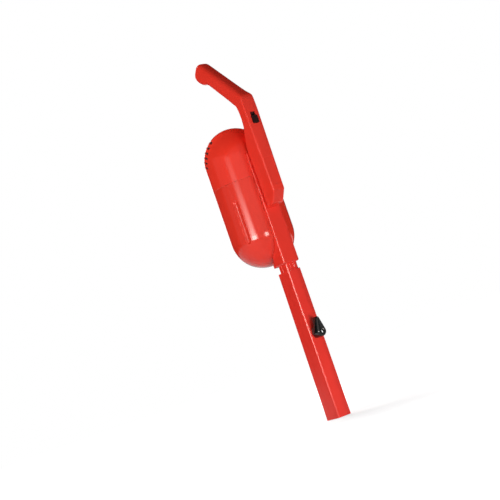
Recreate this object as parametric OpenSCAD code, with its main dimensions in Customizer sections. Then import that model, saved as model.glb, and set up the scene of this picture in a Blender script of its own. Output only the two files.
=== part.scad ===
// Upright stick vacuum cleaner: a capsule shaped barrel on a front air duct, a bent grip
// with a slide switch, and a rectangular extension tube with a swivelling cord hook.
// Z runs up along the tube, the front faces -Y, the origin is the centre of the tube's mouth.

/* [Wand] */
// Length of the extension tube
tube_len = 315; // [280:5:360]
// Outside width of the tube
tube_w = 33; // [32:0.5:36]
// Outside depth of the tube at its top
tube_d_top = 38; // [36.5:0.5:40]
// Outside depth of the tube at its mouth
tube_d_mouth = 44; // [42:0.5:46]
// Wall of the tube
tube_t = 2; // [1.8:0.1:2.4]
// Depth of the socket in the tube that takes the spigot
socket_depth = 60; // [45:5:80]

/* [Spigot] */
// Length of spigot left bare between the tube and the collar
neck_gap = 15; // [11:1:22]
// Depth of the spigot, front to back
neck_d = 28.5; // [27:0.5:29]
// Wall of the spigot
neck_t = 2.2; // [1.8:0.1:2.6]

/* [Duct frame] */
// Width of the duct, its front plate and its collar
frame_w = 39; // [38:0.5:42]
// Depth of the duct
frame_d = 35; // [34.5:0.5:37]
// Wall of the duct
frame_t = 2.5; // [2.2:0.1:2.7]

/* [Barrel] */
// Outside radius of the barrel and of both its domes
barrel_r = 67.5; // [66:0.5:72]
// Wall of the barrel shells
shell_t = 2.5; // [2.2:0.1:3]
// Straight height of the dust container below the seam
cup_straight = 118; // [112:0.5:130]
// Straight height of the motor housing above the seam
housing_straight = 51.7; // [50:0.1:60]
// Number of louvre slots in the back of the dome
louvres = 6; // [4:1:6]
// Height of one louvre slot
louvre_h = 4.4; // [3.4:0.2:5]
// Tilt of the louvres, rising towards the back
louvre_tilt = 24; // [18:1:28]

/* [Handle] */
// How far the stem stands out in front of the duct
stem_stand = 40.5; // [38.5:0.5:44]
// Width of the stem at the switch
stem_w_top = 33.6; // [33:0.2:36]
// Width of the stem at its lower end
stem_w_low = 28; // [27.4:0.2:30]
// Wall of the handle shells
handle_t = 2.5; // [2.2:0.1:2.8]
// Width of the grip
grip_w = 32; // [30:0.5:34]
// Thickness of the grip at the bend
grip_t = 31.4; // [29:0.2:33]
// Thickness of the grip at its far end
grip_t_end = 27.8; // [26:0.2:30]
// Length of the grip's underside
grip_len = 144; // [130:1:150]
// Rise of the grip from the horizontal
grip_angle = 47.8; // [45:0.2:51]
// Depth of the lip that stops the hand at the grip's end
lip = 11; // [8:0.5:13]

/* [Switch] */
// Width of the thumb slider
slider_w = 14.6; // [13:0.2:16]
// Height of the thumb slider
slider_h = 17; // [15:0.5:18]
// Travel of the thumb slider
switch_travel = 8; // [5:0.5:8.5]

/* [Cord hook] */
// Height of the hook's pivot above the tube's mouth
hook_z = 177; // [120:1:220]
// Reach of the hook in front of the tube
hook_reach = 22; // [18:0.5:26]
// Radius of the hook's wide end
hook_r = 11; // [10:0.5:12]
// Distance from the hook's pivot to the centre of its tip
hook_len = 27.5; // [22:0.5:32]

/* [Motor] */
// Radius of the fan casing
fan_r = 46; // [43:0.5:48]
// Number of fan blades
blades = 7; // [5:1:9]
// Radius of the motor's shaft
shaft_r = 4; // [3.5:0.1:4.5]

/* [Fits] */
// Clearance each side between the spigot and its socket
slide_fit = 0.2; // [0.15:0.05:0.3]
// Radial clearance of turning shafts
run_fit = 0.05; // [0.03:0.01:0.08]
// Gap between parts that move past each other
gap = 0.3; // [0.25:0.05:0.4]

/* [Hidden] */
$fn = 64;
eps = 0.01;

// levels, from the tube's mouth upwards
z_collar = tube_len + neck_gap;
z_bot = z_collar + 9;
z_cup = z_bot + barrel_r;
z_seam = z_cup + cup_straight;
z_dome = z_seam + housing_straight;
z_apex = z_dome + barrel_r;
z_plate = z_dome - 1.2;
// lowest point of the stem
z_low = z_seam - 74;
// front faces, measured from the barrel's axis
fy = -(barrel_r + 1.5);
fb = fy + frame_d;
fw = frame_w / 2;
tf = fy + 1.4;
sf = fy - stem_stand;
y_axis = -(tf + tube_d_mouth / 2);
// spigot and socket
sock_w = tube_w - 2 * tube_t;
sock_d = neck_d + 2 * slide_fit;
neck_w = sock_w - 2 * slide_fit;
neck_y = tf + 2.45 + sock_d / 2;
neck_r = 3;
rib_x = 4.5;
// dust container
ch_w = fw + 0.6;
ch_y = fb + 1;
win_z = z_seam - 36;
win_r = 14;
// stem sections
hw_top = stem_w_top / 2;
hw_low = stem_w_low / 2;
// grip
ga = grip_angle;
gd = [cos(ga), sin(ga)];
gn = [-sin(ga), cos(ga)];
g_in = [fy - 5.3, z_apex + 30];
grip_r = 9.5;
function gp(s, n) = g_in + s * gd + n * gn;
function g_top(s) = grip_t + (grip_t_end - grip_t) * s / grip_len;
// screws of the handle: [y, z, half width of a frame lug between the bosses]
lug_w = 5;
handle_bosses = [
  [fy - 8, z_low + 15, lug_w],
  [fy - 8, z_low + 69, lug_w],
  [fy - 8, z_dome - 8.2, lug_w],
  [fy - 29, z_apex + 14, 0],
  [gp(22, 15)[0], gp(22, 15)[1], 0],
  [gp(grip_len - 32, 14)[0], gp(grip_len - 32, 14)[1], 0]
];
// switch
sw_z = z_apex - 14.9;
slot_w = 12;
post_h = 8;
// motor levels
m0 = z_seam + 12;
fan0 = m0 + 4;
fan_h = 24;
mot0 = fan0 + 1.5 + fan_h;
core0 = mot0 + 13;
core_h = 22;
com0 = core0 + core_h + 6;
top0 = com0 + 9;
base_bolts = [35, 145, 215, 325];
bolt_r = barrel_r - shell_t - 7.4;
// filter, centred behind the duct
fil_y = 14;
fil_r = barrel_r - 27.5;
// seat of the motor, and the places of its bolts
well_r = fan_r - 2;
bolt_x = fan_r - 12;
core_r = fan_r / 2 - 1;

module at_barrel() {
  translate([0, y_axis, 0]) children();
}

// rectangle with rounded corners, from [x0, y0] to [x1, y1]
module rrect(x0, y0, x1, y1, r, n = 32) {
  translate([x0 + r, y0]) square([x1 - x0 - 2 * r, y1 - y0]);
  translate([x0, y0 + r]) square([x1 - x0, y1 - y0 - 2 * r]);
  for (x = [x0 + r, x1 - r], y = [y0 + r, y1 - r]) translate([x, y]) circle(r, $fn = n);
}

// cylinder along Y from y0 to y1 at [x, z]
module ycyl(x, z, y0, y1, r, n = 32) {
  translate([x, y0, z]) rotate([-90, 0, 0]) cylinder(h = y1 - y0, r = r, $fn = n);
}

// cylinder along X from x0 to x1 at [y, z]
module xcyl(y, z, x0, x1, r, n = 32) {
  translate([x0, y, z]) rotate([0, 90, 0]) cylinder(h = x1 - x0, r = r, $fn = n);
}

// ring around the barrel's axis
module ring(z0, z1, ro, ri, n = 64) {
  translate([0, 0, z0]) difference() {
    cylinder(h = z1 - z0, r = ro, $fn = n);
    translate([0, 0, -1]) cylinder(h = z1 - z0 + 2, r = ri, $fn = n);
  }
}

// solid drawn in the Y-Z plane and extruded along X
module side(x0, x1) {
  translate([x0, 0, 0]) rotate([90, 0, 90]) linear_extrude(x1 - x0) children();
}

// ---------------------------------------------------------------- wand

module tube_slab(z, w, d, y0, r, n = 24) {
  translate([0, 0, z]) linear_extrude(eps) rrect(-w / 2, y0, w / 2, y0 + d, r, n);
}

module extension_tube() {
  bore_y = tf + tube_t + 3;
  ledge = tube_len - socket_depth;
  color([0.84, 0.18, 0.15]) at_barrel() difference() {
    union() {
      difference() {
        hull() {
          tube_slab(0, tube_w, tube_d_mouth, tf, 3);
          tube_slab(tube_len - eps, tube_w, tube_d_top, tf, 3);
        }
        hull() {
          tube_slab(-eps, tube_w - 2 * tube_t, tube_d_mouth - 2 * tube_t, tf + tube_t, 2);
          tube_slab(ledge, sock_w - 3, sock_d - 3, tf + 3.9, 3);
        }
      }
      // inner boss behind the pivot of the cord hook
      ycyl(0, hook_z, tf + tube_t - 1, bore_y, 7.5);
    }
    // socket for the spigot
    translate([0, 0, ledge]) linear_extrude(socket_depth + 1)
      rrect(-sock_w / 2, neck_y - sock_d / 2, sock_w / 2, neck_y + sock_d / 2, neck_r);
    ycyl(0, hook_z, tf - 1, bore_y + 1, 4 + run_fit);
  }
}

// teardrop disc of the cord hook: wide end at the pivot, tip above it
module drop(y, r0, r1, dz, tip, n = 32) {
  ycyl(0, hook_z + dz, y, y + eps, r0, n);
  ycyl(0, hook_z + tip, y, y + eps, r1, n);
}

module cord_hook() {
  y0 = tf - gap;
  y1 = tf - hook_reach;
  root = hook_z + 15;
  color([0.04, 0.04, 0.045]) at_barrel() difference() {
    union() {
      hull() {
        drop(y0 - 3, hook_r, 4, 0, hook_len);
        drop(y0 - eps, hook_r, 4, 0, hook_len);
        drop(y1 + 1.6, hook_r - 1, 4, 0, hook_len - 1);
        drop(y1, hook_r - 2.6, 2.6, 0, hook_len - 1.4);
      }
      // pivot that passes through the tube's front wall
      ycyl(0, hook_z, y0 - 2, tf + tube_t + 6, 4);
    }
    // throat that takes the cord, open at the tip
    side(-20, 20) union() {
      translate([y0 - 7.7, root]) square([12, 40]);
      translate([y0 - 3.7, root]) circle(4, $fn = 32);
      translate([y0 - 3.7, root - 4]) square([8, 6]);
    }
    // groove for the clip
    translate([0, tf + tube_t + 3 + gap, hook_z]) rotate([-90, 0, 0]) difference() {
      cylinder(h = 1.2, r = 6, $fn = 32);
      translate([0, 0, -1]) cylinder(h = 4, r = 3, $fn = 32);
    }
    // dished thumb face
    translate([0, y1 - 13.5, hook_z + 9]) sphere(15, $fn = 48);
  }
}

module hook_clip() {
  color([0.72, 0.72, 0.74]) at_barrel()
    translate([0, tf + tube_t + 3 + gap + 0.1, hook_z]) rotate([-90, 0, 0]) difference() {
      cylinder(h = 1, r = 6.5, $fn = 32);
      translate([0, 0, -1]) cylinder(h = 3, r = 3, $fn = 32);
      // mouth of the clip
      translate([-1.8, -9, -1]) cube([3.6, 9, 3]);
    }
}

// ---------------------------------------------------------------- duct frame

module spigot() {
  z0 = tube_len - socket_depth + 0.5;
  z1 = z_collar + frame_t;
  color([0.82, 0.17, 0.14]) at_barrel() difference() {
    union() {
      translate([0, 0, z0]) linear_extrude(z1 + 3 - z0)
        rrect(-neck_w / 2, neck_y - neck_d / 2, neck_w / 2, neck_y + neck_d / 2, neck_r - slide_fit);
      // flange inside the duct
      translate([0, 0, z1]) linear_extrude(3)
        rrect(-fw + frame_t, fy + frame_t, fw - frame_t, fb - frame_t, 2);
      // stop ribs that sit on the tube's rim
      for (x = [-rib_x, rib_x]) translate([x - 0.9, neck_y - neck_d / 2 - 1.5, tube_len])
        cube([1.8, 3, neck_gap]);
      for (s = [-1, 1]) translate([s * neck_w / 2 - 1.5, neck_y + 3, tube_len])
        cube([3, 1.8, neck_gap]);
    }
    translate([0, 0, z0 - 1]) linear_extrude(z1 + 5 - z0)
      rrect(-neck_w / 2 + neck_t, neck_y - neck_d / 2 + neck_t,
            neck_w / 2 - neck_t, neck_y + neck_d / 2 - neck_t, neck_r - 1.5);
    // lead-in at the lower edge
    translate([0, neck_y, z0]) rotate([0, 0, 0]) difference() {
      translate([-30, -30, -1]) cube([60, 60, 2]);
      translate([0, 0, -2]) linear_extrude(5)
        rrect(-neck_w / 2 + 0.6, -neck_d / 2 + 0.6, neck_w / 2 - 0.6, neck_d / 2 - 0.6, neck_r - 0.8);
    }
  }
}

module duct_frame() {
  z_top = z_seam - 1.2;
  color([0.83, 0.18, 0.15]) at_barrel() difference() {
    union() {
      difference() {
        translate([0, 0, z_collar + 3]) linear_extrude(z_top - z_collar - 3)
          rrect(-fw, fy, fw, fb, 2.5);
        // air passage
        translate([0, 0, z_collar + frame_t]) linear_extrude(z_top - z_collar - 2 * frame_t)
          rrect(-fw + frame_t, fy + frame_t, fw - frame_t, fb - frame_t, 2);
      }
      // collar's floor with its rounded rim
      difference() {
        hull() for (q = [[0, 2.4], [0.7, 1], [1.6, 0.3], [3 + eps, 0]])
          translate([0, 0, z_collar + q[0]]) linear_extrude(eps)
            rrect(-fw + q[1], fy + q[1], fw - q[1], fb - q[1], 2.6);
        translate([0, 0, z_collar + frame_t]) linear_extrude(5)
          rrect(-fw + frame_t, fy + frame_t, fw - frame_t, fb - frame_t, 2);
      }
      // front plate that runs on up to the foot of the dome
      difference() {
        translate([0, 0, z_top - 5]) linear_extrude(z_plate - z_top + 5)
          rrect(-fw, fy, fw, fy + 9, 2.5);
        translate([-50, fy + 4.5, z_top]) cube([100, 10, 100]);
      }
      // lugs between the handle shells
      for (b = [0:2]) hull() {
        xcyl(handle_bosses[b][0], handle_bosses[b][1], -lug_w, lug_w, 5.5);
        translate([-lug_w, fy, handle_bosses[b][1] - 7]) cube([2 * lug_w, 1, 14]);
      }
      // foot that carries the container
      translate([-8.7, fb - 1, z_collar + 1]) cube([17.4, 20.7, z_bot - gap - z_collar - 1]);
      // friction ribs beside the container's channel
      for (s = [-1, 1]) translate([s * fw - (s > 0 ? 0 : 0.4), fy + 18, z_seam - 60])
        cube([0.4, 3, 40]);
    }
    // round off the top corners of the plate
    for (s = [-1, 1]) translate([s * (fw - 8), fy - 1, z_plate - 8]) rotate([-90, 0, 0])
      difference() {
        translate([s > 0 ? 0 : -9, -9, 0]) cube([9, 9, 7]);
        translate([0, 0, -1]) cylinder(h = 9, r = 8, $fn = 48);
      }
    // mouth for the spigot
    translate([0, 0, z_collar - 1]) linear_extrude(frame_t + 2)
      rrect(-neck_w / 2 - 0.1, neck_y - neck_d / 2 - 0.1, neck_w / 2 + 0.1, neck_y + neck_d / 2 + 0.1, neck_r);
    // outlet into the dust container
    ycyl(0, win_z, fb - frame_t - 1, fb + 1, win_r, 48);
    for (b = [0:2]) xcyl(handle_bosses[b][0], handle_bosses[b][1], -20, 20, 1.9);
    // pilot holes for the housing's screws, and the way through for the wires
    for (x = [-9, 9]) ycyl(x, z_seam + 14, fy - 1, fy + 6, 1.55);
    ycyl(0, z_seam + 22, fy - 1, fy + 6, 3.5);
    // hollow below the foot
    translate([-6.7, fb + 1, z_collar]) cube([13.4, 16.7, z_bot - z_collar - 3]);
  }
}

module inlet_seal() {
  color([0.1, 0.1, 0.1]) at_barrel() difference() {
    ycyl(0, win_z, fb, fb + 1 - gap, win_r + 4, 48);
    ycyl(0, win_z, fb - 1, fb + 2, win_r, 48);
  }
}

module screw(len, r = 1.5, head = 3.2, hh = 2.2) {
  difference() {
    union() {
      cylinder(h = len, r = r, $fn = 24);
      translate([0, 0, -hh]) cylinder(h = hh, r = head, $fn = 32);
    }
    // cross recess
    for (a = [0, 90]) rotate([0, 0, a]) translate([-head * 0.6, -0.45, -hh - 1]) cube([head * 1.2, 0.9, 2.2]);
  }
}

module frame_screws() {
  color([0.75, 0.75, 0.77]) at_barrel()
    for (x = [-9, 9]) translate([x, fy + 4.5 + shell_t, z_seam + 14]) rotate([90, 0, 0])
      screw(shell_t + 4.3);
}

// ---------------------------------------------------------------- handle

// one section across the handle: [front y, front z, rear y, rear z, width, corner radius]
function across(s, n0, n1, w, r) = [gp(s, n1)[0], gp(s, n1)[1], gp(s, n0)[0], gp(s, n0)[1], w, r];
function stem_w(z) = stem_w_low + (stem_w_top - stem_w_low) * (z - z_low) / (z_apex - 10 - z_low);

// rear edge of the stem, from the top of the duct's plate up to the bend: [y, z]
stem_rear = [
  [fy, z_dome + 4],
  [fy - 4, z_dome + 15],
  [fy - 11, z_apex - 30],
  [fy - 15, z_apex - 21],
  [fy - 17.2, z_apex - 4],
  [fy - 17, z_apex + 9]
];

// all sections, from the stem's lower end to the grip's far end
handle_secs = concat(
  [
    [sf + 18.5, z_low + 3.1, fy, z_low, stem_w_low - 1.6, 2.6],
    [sf + 17.2, z_low + 4, fy, z_low + 0.7, stem_w_low - 0.4, 3],
    [sf + 16, z_low + 5.4, fy, z_low + 2, stem_w_low, 3],
    [sf + 1, z_low + 24.6, fy, z_low + 14, stem_w_low, 3],
    [sf, z_low + 26.8, fy, z_low + 16, stem_w(z_low + 22), 3.2]
  ],
  [for (z = [z_low + 48, z_low + 80, z_dome + 4]) [sf, z, fy, z, stem_w(z), 3.5]],
  [for (q = stem_rear) if (q[1] > z_dome + 5) [sf, q[1], q[0], q[1], stem_w(q[1]), 3.5]],
  [
    [sf, z_apex + 31, fy - 14.4, z_apex + 20, stem_w_top - 0.2, 4],
    [sf + 0.4, z_apex + 37.8, fy - 12.2, z_apex + 24, stem_w_top - 0.4, 5],
    [sf + 3.4, z_apex + 42.6, fy - 9.2, z_apex + 27, (stem_w_top + grip_w) / 2, 6.6]
  ],
  [for (k = [0:5]) let(q = k * (grip_len - 48) / 5) across(q, -0.7, g_top(q), grip_w, grip_r - (k == 0 ? 1.2 : 0))],
  [
    across(grip_len - 42, -0.36 * lip, g_top(grip_len - 42), grip_w, grip_r),
    across(grip_len - 36, -0.64 * lip, g_top(grip_len - 36), grip_w, grip_r),
    across(grip_len - 28, -0.92 * lip, g_top(grip_len - 28), grip_w, grip_r),
    across(grip_len - 19, -lip - 0.5, g_top(grip_len - 19), grip_w, grip_r),
    across(grip_len - 11, 0.1 - lip, g_top(grip_len - 11), grip_w, grip_r),
    across(grip_len - 6, 1.6 - lip, g_top(grip_len) - 0.3, grip_w - 0.6, grip_r),
    across(grip_len - 2, 4.8 - lip, g_top(grip_len) - 2, grip_w - 3.4, grip_r),
    across(grip_len, 8.6 - lip, g_top(grip_len) - 5, grip_w - 8.6, grip_r - 0.6)
  ]
);

// outline of a section, drawn in by i
function sec_pts(q, i, n = 5) = let(
  po = [q[0], q[1]],
  v = [q[2], q[3]] - po,
  len = norm(v),
  e = v / len,
  r = max(min(q[5], q[4] / 2 - 1, len / 2 - 1) - i, 0.8),
  hx = q[4] / 2 - i - r,
  q0 = i + r,
  q1 = len - i - r
) [for (c = [[hx, q1, 0], [-hx, q1, 90], [-hx, q0, 180], [hx, q0, 270]], k = [0:n])
  let(a = c[2] + 90 * k / n, d = c[1] + r * sin(a)) [c[0] + r * cos(a), po[0] + e[0] * d, po[1] + e[1] * d]];

// skin through a row of sections
module loft(secs, i) {
  n = 24;
  m = len(secs);
  pts = [for (q = secs) each sec_pts(q, i)];
  polyhedron(points = pts, faces = concat(
    [[for (k = [0:n - 1]) k]],
    [[for (k = [0:n - 1]) (m - 1) * n + n - 1 - k]],
    [for (j = [0:m - 2], k = [0:n - 1]) let(b = (k + 1) % n) [j * n + k, (j + 1) * n + k, j * n + b]],
    [for (j = [0:m - 2], k = [0:n - 1]) let(b = (k + 1) % n) [j * n + b, (j + 1) * n + k, (j + 1) * n + b]]
  ), convexity = 6);
}

module handle_half(s) {
  seat = 8;
  difference() {
    loft(handle_secs, 0);
    difference() {
      loft([for (j = [4:len(handle_secs) - 9]) handle_secs[j]], handle_t);
      // bosses of the screws
      for (b = handle_bosses) xcyl(b[0], b[1], s > 0 ? b[2] + 0.1 : -30, s > 0 ? 30 : -b[2] - 0.1, 5.2);
      // rails that hold the switch body
      for (dz = [-22, 20]) translate([s > 0 ? 8.2 : -30, sf + 1, sw_z + dz]) cube([21.8, 22, 2]);
    }
    // lugs of the duct frame reach in between the bosses
    for (b = [0:2]) translate([-lug_w - 0.1, fy - 13.6, handle_bosses[b][1] - 7.2]) cube([2 * lug_w + 0.2, 15, 14.4]);
    // the other half
    translate([s > 0 ? -100 : 0, -200, 0]) cube([100, 400, 1200]);
    for (b = handle_bosses) {
      if (s > 0) {
        xcyl(b[0], b[1], -1, 40, 1.9);
        xcyl(b[0], b[1], seat, 40, 3.6);
      } else {
        xcyl(b[0], b[1], -11.6, 1, 1.55);
      }
    }
    // slot of the switch
    side(-slot_w / 2, slot_w / 2) translate([sf - 1, sw_z - 7.5])
      square([handle_t + 1.5, post_h + 2 * switch_travel + 0.5]);
    // shallow panel on the front of the stem
    translate([-10.5, sf - 1, z_low + 38]) cube([21, 1.6, 58]);
    // way in for the wires from the motor housing
    ycyl(0, z_seam + 22, fy - 6, fy + 1, 3.5);
  }
}

module handle_left() {
  color([0.84, 0.19, 0.16]) at_barrel() handle_half(-1);
}

module handle_right() {
  color([0.84, 0.19, 0.16]) at_barrel() handle_half(1);
}

module handle_screws() {
  color([0.75, 0.75, 0.77]) at_barrel()
    for (b = handle_bosses) translate([8, b[0], b[1]]) rotate([0, -90, 0]) screw(19);
}

module switch_guide() {
  y0 = sf + handle_t;
  color([0.05, 0.05, 0.05]) at_barrel() difference() {
    translate([-8, y0, sw_z - 12]) cube([16, 2, 32]);
    translate([-4.3, y0 - 1, sw_z - 4.3]) cube([8.6, 4, post_h + switch_travel + 0.6]);
  }
}

module switch_body() {
  y0 = sf + handle_t + 2;
  color([0.09, 0.09, 0.1]) at_barrel() difference() {
    union() {
      translate([-8, y0, sw_z - 19.8]) cube([16, 14.5, 39.6]);
      // terminals
      for (z = [-15, -5, 5]) translate([-2, y0 + 14, sw_z + z]) cube([4, 3, 0.8]);
    }
    translate([-4.6, y0 - 1, sw_z - 4.6]) cube([9.2, 6, post_h + switch_travel + 1.2]);
  }
}

module switch_slider() {
  y0 = sf - gap;
  color([0.03, 0.03, 0.035]) at_barrel() difference() {
    union() {
      translate([0, y0, sw_z]) rotate([90, 0, 0]) linear_extrude(3)
        rrect(-slider_w / 2, -slider_h / 2, slider_w / 2, slider_h / 2, 3.5);
      translate([-4, y0 - 1, sw_z - 4]) cube([8, handle_t + 1 + gap + 6, post_h]);
    }
    // grip grooves across the cap
    for (k = [-2:2]) translate([-slider_w, y0 - 3.5, sw_z + 2.6 * k - 0.5]) cube([2 * slider_w, 1.1, 1]);
  }
}

// ---------------------------------------------------------------- motor housing

module dome_profile(r, straight) {
  intersection() {
    union() {
      square([r, straight]);
      translate([0, straight]) circle(r, $fn = 128);
    }
    square([r + 1, straight + r + 1]);
  }
}

// louvre slots wrap round the back half of the dome and rise towards the back
module louvre_slots() {
  translate([0, 0, z_dome]) rotate([louvre_tilt, 0, 0])
    for (k = [0:louvres - 1]) translate([-100, 10, 43.2 - 10.1 * k - louvre_h / 2]) cube([200, 110, louvre_h]);
}

module motor_housing() {
  r = barrel_r;
  cut_y = fy + 4.5;
  color([0.87, 0.2, 0.14]) at_barrel() difference() {
    union() {
      difference() {
        union() {
          difference() {
            translate([0, 0, z_seam]) rotate_extrude($fn = 128) dome_profile(r, housing_straight);
            translate([0, 0, z_seam - 1]) rotate_extrude($fn = 128)
              dome_profile(r - shell_t, housing_straight + 1);
          }
          // flat wall behind the front plate
          intersection() {
            translate([0, 0, z_seam]) rotate_extrude($fn = 128) dome_profile(r, housing_straight);
            translate([-fw - 3, -r - 5, z_seam]) cube([frame_w + 6, r + 5 + cut_y + shell_t, z_plate + 3 - z_seam]);
          }
        }
        louvre_slots();
      }
      // spine that stiffens the louvres at the back
      intersection() {
        difference() {
          translate([0, 0, z_seam]) rotate_extrude($fn = 128) dome_profile(r, housing_straight);
          translate([0, 0, z_seam - 1]) rotate_extrude($fn = 128)
            dome_profile(r - shell_t - 2, housing_straight + 1);
        }
        union() {
          translate([-2.5, 0, z_dome - 9]) cube([5, 100, barrel_r + 5]);
          for (s = [-1, 1]) rotate([0, 0, s * 48]) translate([-1.5, 0, z_dome - 9])
            cube([3, 100, barrel_r]);
        }
      }
      // socket for the motor's upper mount, and bosses for the base
      intersection() {
        translate([0, 0, z_seam]) rotate_extrude($fn = 128) dome_profile(r - 1, housing_straight);
        union() {
          ring(top0 + 3, z_apex, 19, 16.3);
          for (a = base_bolts) rotate([0, 0, a]) translate([bolt_r, 0, z_seam + 3])
            cylinder(h = 22, r = 3.8, $fn = 32);
          for (a = base_bolts) rotate([0, 0, a]) translate([bolt_r, -1.2, z_seam + 3])
            cube([8, 2.4, 22]);
        }
      }
    }
    // seat of the front plate
    translate([-fw - 0.15, -r - 10, z_seam - 1]) cube([frame_w + 0.3, r + 10 + cut_y, z_plate + 1.15 - z_seam]);
    for (x = [-9, 9]) ycyl(x, z_seam + 14, cut_y - 1, cut_y + shell_t + 1, 1.75);
    ycyl(0, z_seam + 22, cut_y - 1, cut_y + shell_t + 1, 3.5);
    // pilot holes for the base's screws
    for (a = base_bolts) rotate([0, 0, a]) translate([bolt_r, 0, z_seam + 2])
      cylinder(h = 18, r = 1.55, $fn = 24);
    // hole for the cord's gland
    ycyl(0, z_seam + 20, r - 8, r + 2, 6, 48);
  }
}

// outline of the container's rim, grown inwards by i
module rim_outline(r, i) {
  difference() {
    circle(r, $fn = 128);
    translate([-ch_w - shell_t - i, -r - 5]) square([2 * (ch_w + shell_t + i), r + 5 + ch_y + shell_t + i]);
  }
}

module motor_base() {
  r = barrel_r - shell_t - gap;
  flat_y = fy + 4.5 + shell_t + gap;
  color([0.16, 0.16, 0.17]) at_barrel() difference() {
    union() {
      translate([0, 0, z_seam]) linear_extrude(3) difference() {
        circle(r, $fn = 128);
        translate([-fw - 3 - gap, -r - 5]) square([frame_w + 6 + 2 * gap, r + 5 + flat_y]);
      }
      // well for the filter, with the motor's seat on top
      translate([0, fil_y, z_seam]) cylinder(h = 12, r = fil_r + 2, $fn = 96);
      translate([0, 0, z_seam]) cylinder(h = 12, r = well_r, $fn = 96);
      ring(z_seam + 12, z_seam + 15, well_r - 0.8, well_r - 2.8, 96);
    }
    translate([0, fil_y, z_seam - 1]) cylinder(h = 11, r = fil_r, $fn = 96);
    translate([0, 0, z_seam + 3]) cylinder(h = 7, r = well_r - 2, $fn = 96);
    // intake holes
    translate([0, 0, z_seam + 5]) cylinder(h = 20, r = 6, $fn = 32);
    for (a = [0:60:300]) rotate([0, 0, a]) translate([14, 0, z_seam + 5]) cylinder(h = 20, r = 5, $fn = 24);
    // groove for the rim seal
    translate([0, 0, z_seam - 1]) linear_extrude(2.2) difference() {
      rim_outline(r - 0.2, 0);
      rim_outline(r - 3.4, 3.2);
    }
    for (a = base_bolts) rotate([0, 0, a]) translate([bolt_r, 0, z_seam - 1]) {
      cylinder(h = 6, r = 1.8, $fn = 24);
      cylinder(h = 2, r = 3.4, $fn = 32);
    }
  }
}

module base_screws() {
  color([0.75, 0.75, 0.77]) at_barrel()
    for (a = base_bolts) rotate([0, 0, a]) translate([bolt_r, 0, z_seam + 1]) screw(16, 1.5, 3.2, 0.9);
}

module rim_seal() {
  r = barrel_r - shell_t - gap;
  color([0.07, 0.07, 0.07]) at_barrel()
    translate([0, 0, z_seam]) linear_extrude(1.2) difference() {
      rim_outline(r - 0.2, 0);
      rim_outline(r - 3.4, 3.2);
    }
}

module cord_gland() {
  y0 = barrel_r - shell_t - 2.8;
  color([0.05, 0.05, 0.05]) at_barrel() difference() {
    union() {
      ycyl(0, z_seam + 20, y0 + 2, barrel_r + 0.6, 5.9, 48);
      ycyl(0, z_seam + 20, y0 - 1, y0 + 2, 8, 48);
      ycyl(0, z_seam + 20, barrel_r + 0.6, barrel_r + 2.6, 8, 48);
      translate([0, barrel_r + 2.6, z_seam + 20]) rotate([-90, 0, 0])
        cylinder(h = 14, r1 = 6.4, r2 = 5, $fn = 48);
    }
    ycyl(0, z_seam + 20, y0 - 2, barrel_r + 20, 3.6, 48);
    // flex grooves
    for (k = [0:3]) translate([0, barrel_r + 5 + 3 * k, z_seam + 20]) rotate([-90, 0, 0]) difference() {
      cylinder(h = 1.2, r = 9, $fn = 32);
      translate([0, 0, -1]) cylinder(h = 4, r = 4.5, $fn = 32);
    }
  }
}

// foam that the air leaves through, behind the louvres
module exhaust_foam() {
  ro = barrel_r - shell_t - gap;
  color([0.12, 0.12, 0.13]) at_barrel() difference() {
    intersection() {
      difference() {
        translate([0, 0, z_seam]) rotate_extrude($fn = 128) dome_profile(ro, housing_straight);
        translate([0, 0, z_seam - 1]) rotate_extrude($fn = 128) dome_profile(ro - 4.5, housing_straight + 1);
      }
      translate([0, 0, z_dome]) rotate([louvre_tilt, 0, 0]) translate([-100, 5, -13]) cube([200, 100, 60]);
    }
    // grooves for the spines of the louvres
    difference() {
      for (q = [[0, 5], [48, 3], [-48, 3]]) rotate([0, 0, q[0]]) translate([-q[1] / 2 - gap, 0, z_dome - 60])
        cube([q[1] + 2 * gap, 100, 160]);
      translate([0, 0, z_seam - 1]) rotate_extrude($fn = 128)
        dome_profile(barrel_r - shell_t - 2 - gap, housing_straight + 1);
    }
    // room for the motor's upper mount
    translate([0, 0, z_dome]) cylinder(h = 80, r = 19.4, $fn = 64);
  }
}

// ---------------------------------------------------------------- filter

module pre_filter() {
  color([0.35, 0.36, 0.38]) at_barrel() translate([0, fil_y, z_seam + 3])
    cylinder(h = 7, r = fil_r - 0.1, $fn = 96);
}

module filter_grille() {
  r = fil_r - 0.1;
  color([0.13, 0.13, 0.14]) at_barrel() translate([0, fil_y, 0]) difference() {
    union() {
      ring(z_seam, z_seam + 3, r, r - 3.5, 96);
      translate([0, 0, z_seam + 0.4]) linear_extrude(2.6) intersection() {
        circle(r - 2, $fn = 96);
        union() {
          for (x = [-30:10:30]) translate([x - 1, -50]) square([2, 100]);
          for (y = [-24:12:24]) translate([-50, y - 1]) square([100, 2]);
        }
      }
      translate([0, 0, z_seam + 0.4]) cylinder(h = 2.6, r = 8, $fn = 32);
    }
    // finger recess
    translate([0, 0, z_seam - 1]) cylinder(h = 2.6, r = 5.5, $fn = 32);
  }
}

// ---------------------------------------------------------------- motor

module lower_mount() {
  color([0.06, 0.06, 0.06]) at_barrel() ring(m0, fan0, well_r - 2.8, fan_r - 13, 96);
}

module fan_cover() {
  color([0.7, 0.71, 0.73]) at_barrel() ring(fan0, fan0 + 1.5, fan_r, 15, 96);
}

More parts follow.
